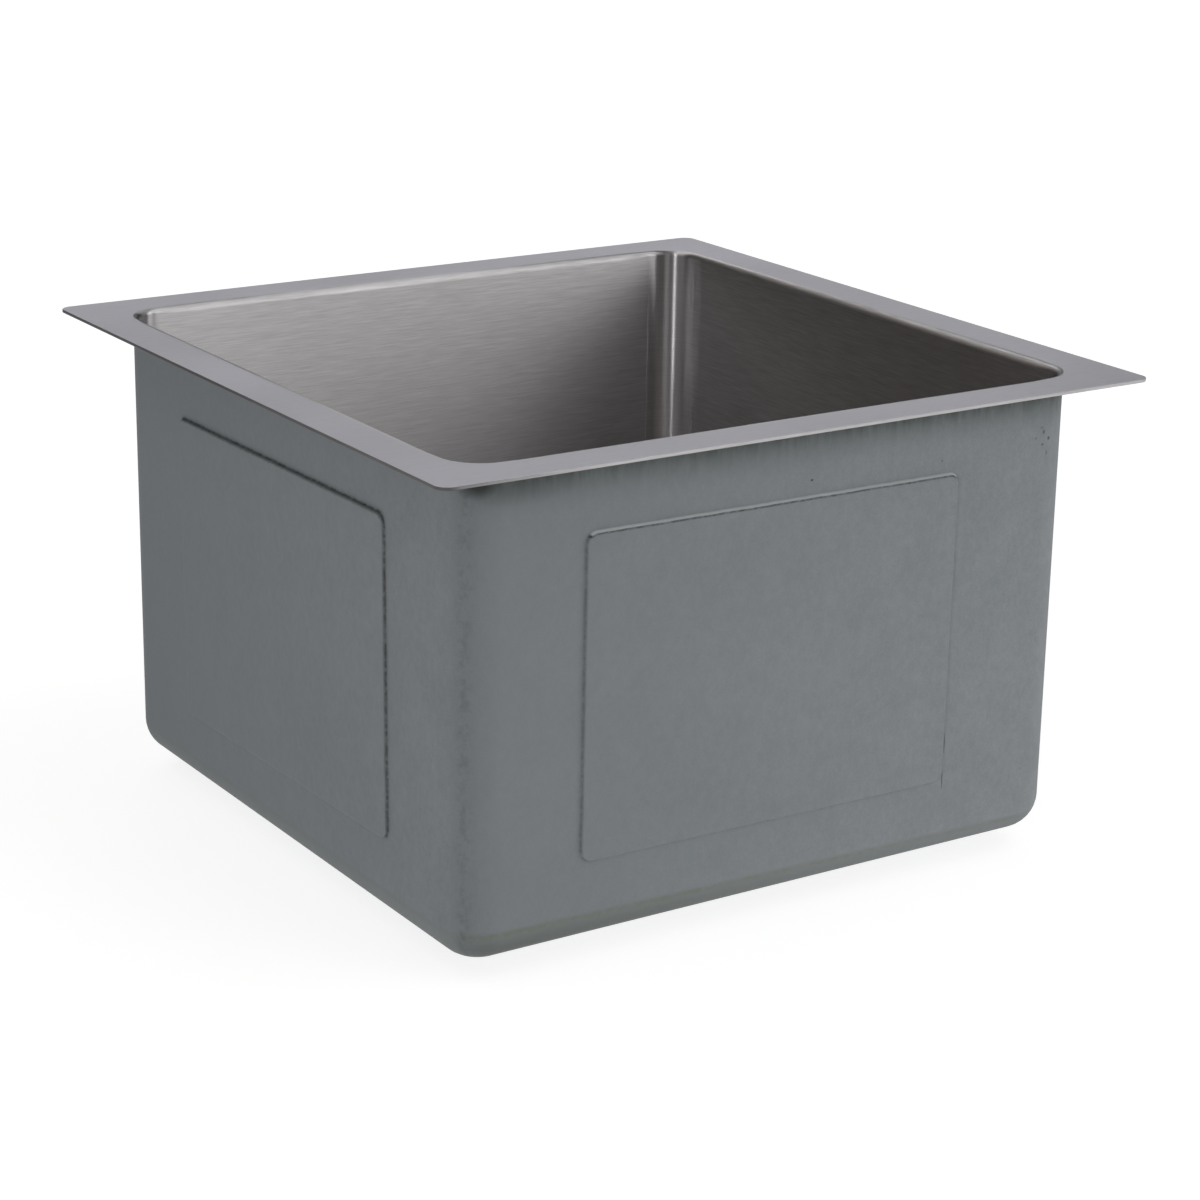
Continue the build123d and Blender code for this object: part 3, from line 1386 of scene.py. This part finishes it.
    def wall_relief(self, side: Side) -> PadRelief:
        """Relief of the pad on one wall.

        Args:
            side: Side of the bowl.

        Returns:
            The relief.
        """
        s = self.sizes
        turn = math.radians(self.turns.get(side, 0.0))
        outside, height = s.wall_face + s.steel + s.coat, s.rim_top - self.pad_centre_drop
        # Painted highlight on the front pad's upper step.
        painted_highlight = 0.85 if side is Side.FRONT else 0.0
        return PadRelief(
            centre=side.turned(Vector((self.shifts.get(side, 0.0), -outside, height))),
            along=side.turned(Vector((math.cos(turn), 0.0, math.sin(turn)))),
            up=side.turned(Vector((-math.sin(turn), 0.0, math.cos(turn)))),
            width=self.pad_width + 2 * s.coat,
            height=self.pad_height + 2 * s.coat,
            radius=self.pad_radius + s.coat,
            rise=s.pad,
            seed=side.value + 5.0,
            dirt_and_shade=self.dirt_and_shade.get(side, self.plain_dirt_and_shade),
            shoulder_darkening=(0.0, 0.0, self.shoulder_darkness.get(side, self.plain_shoulder_darkness), 0.0),
            painted_highlights=(0.0, 0.0, painted_highlight, 0.1),
        )

    def floor_relief(self, side: Side) -> PadRelief:
        """Relief of the pad under one of the floor's flats.

        Args:
            side: Side of the bowl.

        Returns:
            The relief.
        """
        s = self.sizes
        skin = s.steel + s.coat
        centre = s.draped([Vector((0.0, -self.under_reach, 0.0))], skin)[0]
        inward = Vector((0.0, s.fall_start - s.fall_end, -s.fall)).normalized()
        return PadRelief(
            centre=side.turned(centre),
            along=side.turned(Vector((1.0, 0.0, 0.0))),
            up=side.turned(inward),
            width=self.under_width + 2 * s.coat,
            height=self.under_depth + 2 * s.coat,
            radius=self.pad_radius + s.coat,
            rise=-s.pad,
            seed=side.value + 45.0,
            dirt_and_shade=(0.3, 0.3, 0.3, 0.3),
        )

    def cover_pad(
        self,
        sheet: SheetMesh,
        frame_loop: list[int],
        relief: PadRelief,
        width_steps: int,
        height_steps: int,
    ) -> None:
        """Fill a flat field of the skin, with the coat rising over a pad in its middle.

        Args:
            sheet: Mesh being built.
            frame_loop: Points round the field, from its lower left corner.
            relief: The pad's relief.
            width_steps: Steps along the field's lower and upper edge.
            height_steps: Steps along its right and left edge.
        """
        steps = (width_steps, height_steps, self.pad_arc_steps)
        counts = (width_steps, height_steps, width_steps, height_steps)
        edge_of = [edge for edge, count in enumerate(counts) for _ in range(count)]
        # The crease layer takes dirt and painted shade at the foot and the darker shoulder; the other
        # takes the painted highlight on the step.
        crease = sheet.paint.setdefault("crease", {})
        bright = sheet.paint.setdefault("painted_highlight", {})
        last = frame_loop
        for spread, share, dirt_and_shade, shoulder_darkness, painted_highlight in self.pad_levels:
            loop = sheet.add(relief.loop(spread * MM, share * relief.rise, *steps))
            for number, edge in zip(loop, edge_of):
                crease[number] = dirt_and_shade * relief.dirt_and_shade[edge] + shoulder_darkness * relief.shoulder_darkening[edge]
                bright[number] = painted_highlight * relief.painted_highlights[edge]
            sheet.bridge(last, loop)
            last = loop
        sheet.face(last)

    def paint(self, point: Vector) -> dict[str, float]:
        """How much painted shade, painted shadow, stain and smear the coat gets at one of its points.

        Args:
            point: Place on the coat.

        Returns:
            For each paint layer its amount, from 0 to 1: painted shade that darkens the front
            towards the left and the left side towards the rear, painted shadow under the flange,
            a tide line stain with painted shade below it along the bottom, and smears on the
            front left edge.
        """
        s = self.sizes
        outside = s.wall_face + s.steel + s.coat
        front, left = (
            held((reach / outside - self.side_from) / (1 - self.side_from))
            for reach in (-point.y, -point.x)
        )
        other = max(0.0, 1.0 - front - left)
        from_left = held((point.x + s.seam) / (2 * s.seam))
        from_front = held((point.y + s.seam) / (2 * s.seam))
        round_corner = math.degrees(math.atan2(-s.seam - point.y, -s.seam - point.x))
        on_edge = max(0.0, 1.0 - abs(round_corner - self.smear_bearing) / self.smear_spread)
        in_corner = point.x < -s.seam and point.y < -s.seam
        # The first layer is painted shade, the second painted shadow under the flange and the third a
        # stain line with painted shade on the bend below it.
        return {
            "lean": 0.6 * front * (1 - from_left) ** 1.2
            + left * (0.1 + 0.7 * from_front)
            + 0.3 * other,
            "missed": front + 0.1 * left + 0.6 * other,
            "grime": front * (1.0 - 0.35 * from_left) + 0.4 * left + 0.3 * other,
            "smear": 0.34 * on_edge if in_corner else 0.0,
        }

    def build(self) -> bpy.types.Object:
        """Build the coat as a thin closed skin.

        Returns:
            The piece.
        """
        s, sheet = self.sizes, SheetMesh()
        skin = s.steel + s.coat
        steps, arcs = self.side_steps, self.arc_steps
        half, corner = s.wall_face + skin, s.corner + skin
        radius = s.bottom_bend + skin
        bend_top, wall_top = s.floor_top + s.bottom_bend, s.coat_top - self.top_bevel

        def ring(inward: float, height: float) -> list[int]:
            """Add a level ring, so far inside the walls' outer face."""
            return sheet.add(square_ring(half - inward, corner - inward, height, steps, arcs))

        # Feathered top edge, then one ring for each step down the walls.
        feathered = ring(self.feather, s.coat_top)
        drop, count = bend_top - wall_top, self.wall_steps
        walls = [ring(0.0, wall_top + drop * i / count) for i in range(count + 1)]
        sheet.bridge(feathered, walls[0])

        # Corner strips of quads, and between them a field with a pad on each wall.
        half_arc = arcs // 2
        for number, side in enumerate(Side):
            start = number * steps + half_arc
            stop = (number + 1) * steps - half_arc
            for upper, lower in zip(walls, walls[1:]):
                turn = [i % (4 * steps) for i in range(stop, stop + arcs + 1)]
                sheet.bridge([upper[i] for i in turn], [lower[i] for i in turn], closed=False)
            bottom = walls[-1][start : stop + 1]
            right = [level[stop] for level in reversed(walls)]
            top = walls[0][start : stop + 1][::-1]
            left = [level[start] for level in walls]
            loop = bottom[:-1] + right[:-1] + top[:-1] + left[:-1]
            self.cover_pad(sheet, loop, self.wall_relief(side), stop - start, self.wall_steps)

        # Bend under the walls, down to where the floor starts to fall.
        last = walls[-1]
        for i in range(1, self.bend_steps + 1):
            turn = math.radians(90 * i / self.bend_steps)
            lower = ring(radius * (1 - math.cos(turn)), bend_top - radius * math.sin(turn))
            sheet.bridge(last, lower)
            last = lower
        flat = s.floor_top - skin
        edge = sheet.add(square_ring(s.fall_start, self.crease_corner, flat, steps, arcs))
        sheet.bridge(last, edge)

        # Four falling flats between creases, each with a pad, in to the bare ring.
        circle = round_ring(s.bare_radius, 0.0, steps)
        inner = sheet.add(s.draped(circle, skin))
        creases: list[list[int]] = []
        for start in range(0, 4 * steps, steps):
            first, second = sheet.points[edge[start]], sheet.points[inner[start]]
            between = [first.lerp(second, i / self.floor_steps) for i in range(1, self.floor_steps)]
            creases.append([edge[start], *sheet.add(between), inner[start]])
        for number, side in enumerate(Side):
            stretch = [i % (4 * steps) for i in range(number * steps, (number + 1) * steps + 1)]
            outside = [edge[i] for i in stretch]
            inside = [inner[i] for i in reversed(stretch)]
            right, left = creases[(number + 1) % 4], creases[number][::-1]
            loop = outside[:-1] + right[:-1] + inside[:-1] + left[:-1]
            self.cover_pad(sheet, loop, self.floor_relief(side), steps, self.floor_steps)

        for i, point in enumerate(sheet.points):
            for layer, amount in self.paint(point).items():
                sheet.paint.setdefault(layer, {})[i] = amount
        return sheet.build("undercoat_skin", [self.finish], self.soft_angle, s.coat)


@dataclass(frozen=True)
class Softbox:
    """Round studio light, so far away that the whole floor gets the same light.

    Attributes:
        name: Name of the light.
        azimuth: Bearing of the light in degrees, 0 in front and 90 on the right.
        elevation: Height of the light above the horizon, in degrees.
        spread: Width of the light as the sink sees it, in degrees.
        radiance: Brightness of its face, where white paper in full light is 1.
        tint: Colour of its diffuser.
        distance: From the sink to the light, in metres, which only shows where it hangs.
    """

    name: str
    azimuth: float
    elevation: float
    spread: float
    radiance: float
    tint: str = "#FFFFFF"
    distance: float = 3.0

    def hang(self) -> bpy.types.Object:
        """Hang the light and turn it to the sink.

        Returns:
            The light.
        """
        turn, rise = math.radians(self.azimuth), math.radians(self.elevation)
        away = Vector(
            (math.sin(turn) * math.cos(rise), -math.cos(turn) * math.cos(rise), math.sin(rise))
        )
        data = bpy.data.lights.new(self.name, "SUN")
        data.angle = math.radians(self.spread)
        data.energy = self.radiance * math.pi * math.sin(data.angle / 2) ** 2
        data.color = linear(self.tint)[:3]
        lamp = bpy.data.objects.new(self.name, data)
        lamp.location = away * self.distance
        lamp.rotation_euler = away.to_track_quat("Z", "Y").to_euler()
        bpy.context.scene.collection.objects.link(lamp)
        return lamp


@dataclass
class Studio:
    """Pale paper floor, plain soft light and the camera.

    Attributes:
        paper: Finish of the floor.
        floor_radius: Radius of the floor in metres.
        floor_gap: How far the floor lies below the sink.
        camera_place: The camera's place in metres.
        camera_azimuth: Bearing that the camera looks along, in degrees from +Y to +X.
        camera_tilt: How far it looks down, in degrees.
        camera_roll: How far it is turned about its own axis, in degrees.
        lens: Focal length in millimetres.
        sensor: Width of the camera's sensor in millimetres.
        sky_low: Colour of the room at the horizon.
        sky_high: Colour of the room overhead.
        sky_full: How high that is reached, where straight up is 1.
        lights: The softboxes.
    """

    paper: bpy.types.Material
    floor_radius: float = 25.0
    floor_gap: float = 0.2 * MM
    camera_place: tuple[float, float, float] = (-0.7840, -1.2165, 0.5733)
    camera_azimuth: float = 33.157
    camera_tilt: float = 17.901
    camera_roll: float = 0.956
    lens: float = 92.207
    sensor: float = 36.0
    sky_low: str = "#141414"
    sky_high: str = "#1C1C1C"
    sky_full: float = 0.8
    lights: tuple[Softbox, ...] = (
        Softbox("low_front_right_softbox", 27, 14, 38, 2.43),
        Softbox("low_right_softbox", 60, 14, 28, 2.73),
        Softbox("low_far_right_softbox", 90, 14, 28, 0.24),
        Softbox("low_back_softbox", 150, 14, 28, 0.24),
        Softbox("low_front_left_softbox", 327, 14, 17, 1.30),
        Softbox("left_strip_low", 298.5, 11, 6, 23.0),
        Softbox("left_strip_high", 298.5, 23, 6, 21.0),
        Softbox("left_softbox", 271, 36, 18, 0.98),
        Softbox("middle_right_softbox", 80, 36, 28, 0.47),
        Softbox("middle_back_right_softbox", 110, 36, 28, 0.32),
        Softbox("middle_right_back_softbox", 140, 36, 28, 0.81),
        Softbox("middle_back_softbox", 170, 36, 28, 0.82),
        Softbox("middle_back_left_softbox", 200, 36, 28, 0.25, "#FFF2E8"),
        Softbox("middle_front_left_softbox", 330, 36, 28, 0.37),
        Softbox("high_front_softbox", 20, 58, 32, 1.15),
        Softbox("high_front_right_softbox", 55, 56, 36, 0.95),
        Softbox("high_right_softbox", 90, 58, 32, 0.69),
        Softbox("high_back_softbox", 170, 58, 32, 1.02),
        Softbox("high_back_left_softbox", 215, 58, 32, 0.70, "#FFF2E8"),
        Softbox("high_left_softbox", 255, 58, 32, 1.00),
        Softbox("high_front_left_softbox", 292, 58, 32, 0.67),
    )

    def lay_floor(self) -> bpy.types.Object:
        """Lay the paper floor just under the sink.

        Returns:
            The floor.
        """
        mesh = bpy.data.meshes.new("paper_floor")
        shape = bmesh.new()
        bmesh.ops.create_circle(shape, cap_ends=True, radius=self.floor_radius, segments=96)
        shape.to_mesh(mesh)
        shape.free()
        mesh.materials.append(self.paper)
        floor = bpy.data.objects.new("paper_floor", mesh)
        floor.location = (0.0, 0.0, -self.floor_gap)
        bpy.context.scene.collection.objects.link(floor)
        return floor

    def light(self) -> None:
        """Set the room's soft light and hang the softboxes."""
        world = bpy.data.worlds.new("studio_room")
        bpy.context.scene.world = world
        world.use_nodes = True
        tree = world.node_tree
        tree.nodes.clear()
        add = partial(add_node, tree)
        height = add("SeparateXYZ", {0: add("TexCoord", output="Generated")}, "Z")
        rise = add("MapRange", {0: height, 2: self.sky_full})
        keys = {0: rise, 6: linear(self.sky_low), 7: linear(self.sky_high)}
        colour = add("Mix", keys, 2, data_type="RGBA")
        add("OutputWorld", {"Surface": add("Background", {"Color": colour, "Strength": 1.0})})
        for softbox in self.lights:
            softbox.hang()
            log.info("light %s", softbox.name)

    def aim_camera(self) -> bpy.types.Object:
        """Place the camera where the photograph was taken from.

        Returns:
            The camera.
        """
        angles = (self.camera_azimuth, self.camera_tilt, self.camera_roll)
        turn, tilt, roll = (math.radians(angle) for angle in angles)
        ahead = Vector(
            (math.sin(turn) * math.cos(tilt), math.cos(turn) * math.cos(tilt), -math.sin(tilt))
        )
        level = Vector((math.cos(turn), -math.sin(turn), 0.0))
        over = level.cross(ahead)
        right = level * math.cos(roll) + over * math.sin(roll)
        up = right.cross(ahead)
        data = bpy.data.cameras.new("studio_camera")
        data.lens = self.lens
        data.sensor_width = self.sensor
        data.sensor_fit = "HORIZONTAL"
        data.clip_end = 100.0
        camera = bpy.data.objects.new("studio_camera", data)
        matrix = Matrix((right, up, -ahead)).transposed().to_4x4()
        matrix.translation = Vector(self.camera_place)
        camera.matrix_world = matrix
        bpy.context.scene.collection.objects.link(camera)
        bpy.context.scene.camera = camera
        return camera

    def build(self) -> None:
        """Set up the floor, the light and the camera."""
        self.aim_camera()
        self.lay_floor()
        self.light()
        # The colours are matched to the photograph, so they are shown unchanged.
        bpy.context.scene.view_settings.view_transform = "Standard"
        bpy.context.scene.view_settings.look = "None"


def place(piece: bpy.types.Object, node: str, slot: str) -> None:
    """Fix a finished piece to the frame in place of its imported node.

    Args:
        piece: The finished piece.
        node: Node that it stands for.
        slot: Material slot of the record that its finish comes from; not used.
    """
    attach(piece, "root")
    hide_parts(node)
    log.info("%s stands for %s, %d faces", piece.name, node, len(piece.data.polygons))


def main() -> None:
    """Build the sink piece by piece, dress it and set up the studio."""
    logging.basicConfig(level=logging.INFO, format="%(name)s: %(message)s")
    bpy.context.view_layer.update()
    sizes = BowlSizes.from_frame()

    Studio(paper=StudioPaper("studio_paper_matt").material()).build()

    flange_top = BrushedSteel(
        "stainless_steel_brushed_flange",
        Grain.ALONG_X,
        dark="#ADACB3",
        light="#CBCAD1",
        roughness=0.38,
        anisotropy=0.8,
        contrast=0.22,
        hairline=(8 * MM, 0.4 * MM),
    ).material()
    wall_face = BrushedSteel("stainless_steel_brushed_wall", Grain.ROUND_BOWL).material()
    strip_face = BrushedSteel(
        "stainless_steel_brushed_corner",
        Grain.ROUND_BOWL,
        roughness=0.34,
        anisotropy=1.0,
        contrast=0.5,
    ).material()
    floor_face = BrushedSteel(
        "stainless_steel_brushed_floor", Grain.ALONG_X, dark="#B2ADA8", light="#CEC9C4"
    ).material()
    mill_face = BrushedSteel(
        "stainless_steel_mill_rolled",
        Grain.ALONG_X,
        dark="#7F7D7B",
        light="#999795",
        roughness=0.42,
        anisotropy=0.3,
    ).material()
    # The sheared edge gets painted shade along its left side and at the left end of its front.
    cut_edge = BrushedSteel(
        "stainless_steel_sheared_edge",
        Grain.ROUND_BOWL,
        dark="#999798",
        light="#B4B2B3",
        roughness=0.4,
        anisotropy=0.2,
        edge_shade="#2E2B2A",
    ).material()
    sprayed = SprayedUndercoat(
        "undercoat_sprayed_matt", sizes.coat_top, Undercoat.marks
    ).material()
    rubber = ButylRubber("butyl_rubber_calendered").material()

    flange = RimFlange(sizes, flange_top, wall_face, strip_face, mill_face, cut_edge)
    place(flange.build(), "rim_flange", "brushed_steel")
    for side in Side:
        panel = WallPanel(sizes, side, wall_face)
        place(panel.build(), f"wall_{side.label}", "brushed_steel")
    corners = {
        Side.FRONT: "front_right",
        Side.RIGHT: "rear_right",
        Side.REAR: "rear_left",
        Side.LEFT: "front_left",
    }
    for side, name in corners.items():
        strip = CornerStrip(sizes, side, name, strip_face)
        place(strip.build(), f"corner_{name}", "brushed_steel")
    pan = BottomPan(sizes, wall_face, strip_face, floor_face, mill_face)
    place(pan.build(), "bottom_pan", "brushed_steel")
    place(Undercoat(sizes, sprayed).build(), "undercoat", "undercoat")

    # The pads lie wholly inside the coat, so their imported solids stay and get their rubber.
    for name, node in frame["nodes"].items():
        if name.startswith("pad_"):
            node.data.materials.clear()
            node.data.materials.append(rubber)
            log.info("%s keeps its solid and gets its rubber", name)


if __name__ == "__main__":
    main()
